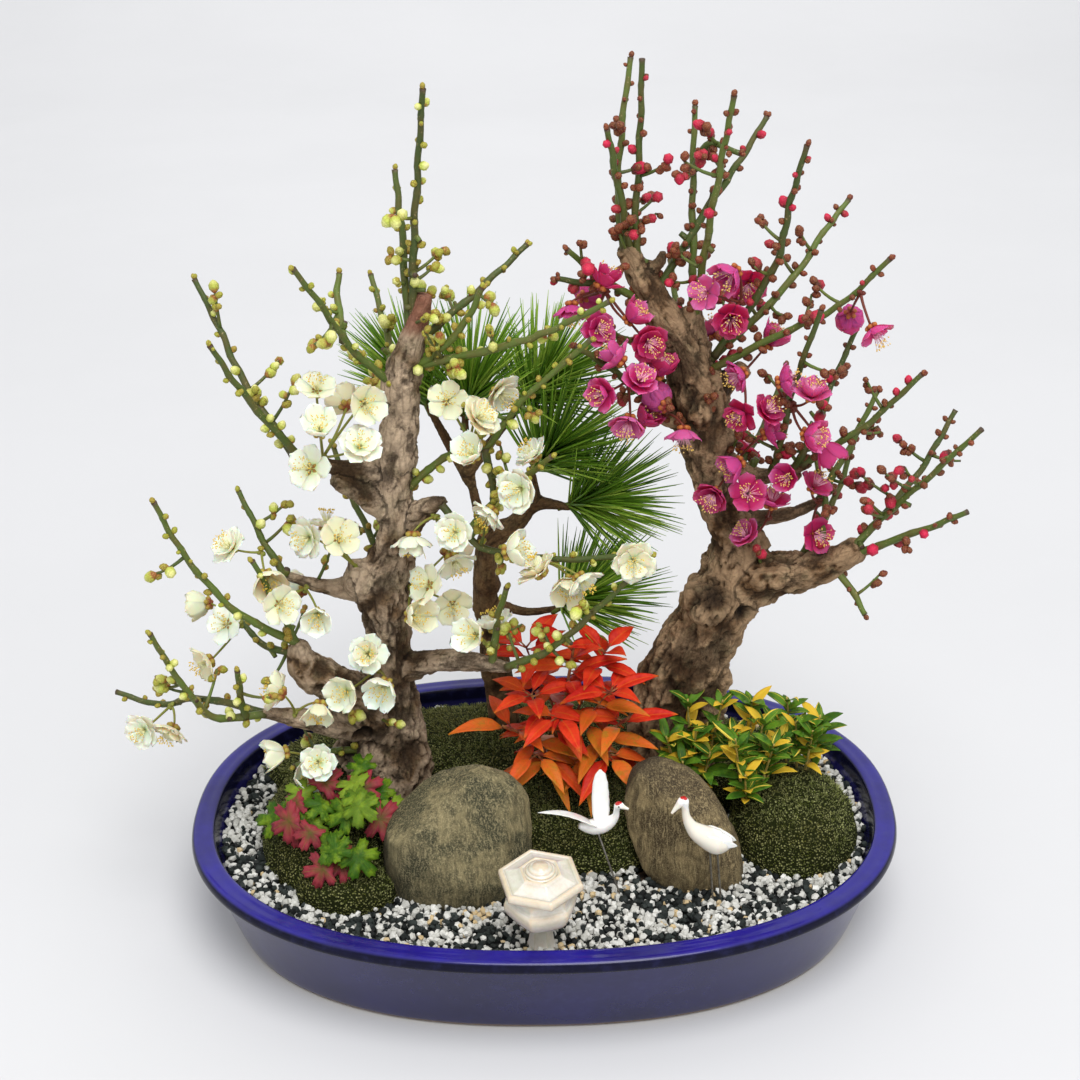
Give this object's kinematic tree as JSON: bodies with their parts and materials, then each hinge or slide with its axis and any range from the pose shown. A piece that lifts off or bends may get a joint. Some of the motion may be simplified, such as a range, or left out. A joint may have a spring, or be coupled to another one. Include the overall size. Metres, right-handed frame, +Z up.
{
  "type": "japanese apricot bonsai",
  "caption": "Tray planting of a white and a pink japanese apricot with pine, nandina, dwarf bamboo, moss, stones, gravel, a small lantern and cranes in an oval glazed tray.",
  "frame": {"origin": "middle of the tray's flat base, where it rests on a table", "axes": "+Z up, +X to the viewer's right along the tray's length, +Y away from the viewer; the viewer stands at -Y"},
  "size_m": [0.4177, 0.26, 0.4282],
  "materials": {
    "blue_glaze": "gloss",
    "drain_net": "matte",
    "soil": "matte",
    "gravel": "matte",
    "moss": "matte",
    "grey_stone": "matte",
    "brown_stone": "matte",
    "pearl_glaze": "gloss",
    "white_glaze": "gloss",
    "wire": "satin",
    "white_apricot_bark": "matte",
    "pink_apricot_bark": "matte",
    "pine_bark": "matte",
    "pine_needle": "satin",
    "nandina_leaf": "satin",
    "bamboo_leaf": "satin",
    "lobed_leaf": "satin",
    "white_petal": "matte",
    "pink_petal": "matte"
  },
  "bodies": {
    "root": {"tray": "blue_glaze", "drain_net_left": "drain_net", "drain_net_right": "drain_net", "soil": "soil", "gravel": "gravel", "moss": "moss", "stone_left": "grey_stone", "stone_right": "brown_stone", "ceramic_lantern": "pearl_glaze", "flying_crane": "white_glaze", "standing_crane": "white_glaze", "flying_crane_wire": "wire", "standing_crane_wire_left": "wire", "standing_crane_wire_right": "wire", "white_apricot_wood": "white_apricot_bark", "pink_apricot_wood": "pink_apricot_bark", "pine_wood": "pine_bark", "pine_spray_top": "pine_needle", "pine_spray_upper_right": "pine_needle", "pine_spray_middle_right": "pine_needle", "pine_spray_right": "pine_needle", "pine_spray_low": "pine_needle", "pine_spray_upper_left": "pine_needle", "nandina_stem_tall": "nandina_leaf", "nandina_stem_left": "nandina_leaf", "nandina_stem_right": "nandina_leaf", "bamboo_left": "bamboo_leaf", "bamboo_middle": "bamboo_leaf", "bamboo_right": "bamboo_leaf", "lobed_plant_right": "lobed_leaf", "lobed_plant_left": "lobed_leaf", "lobed_plant_front": "lobed_leaf", "white_blossoms_01": "white_petal", "white_blossoms_02": "white_petal", "white_blossoms_03": "white_petal", "white_blossoms_04": "white_petal", "white_blossoms_05": "white_petal", "white_blossoms_06": "white_petal", "white_blossoms_07": "white_petal", "white_blossoms_08": "white_petal", "white_blossoms_09": "white_petal", "white_blossoms_10": "white_petal", "white_blossoms_11": "white_petal", "white_blossoms_12": "white_petal", "white_blossoms_13": "white_petal", "white_blossoms_14": "white_petal", "white_blossoms_15": "white_petal", "white_blossoms_16": "white_petal", "pink_blossoms_01": "pink_petal", "pink_blossoms_02": "pink_petal", "pink_blossoms_03": "pink_petal", "pink_blossoms_04": "pink_petal", "pink_blossoms_05": "pink_petal", "pink_blossoms_06": "pink_petal", "pink_blossoms_07": "pink_petal", "pink_blossoms_08": "pink_petal", "pink_blossoms_09": "pink_petal", "pink_blossoms_10": "pink_petal", "pink_blossoms_11": "pink_petal", "pink_blossoms_12": "pink_petal"}
  },
  "joints": []
}
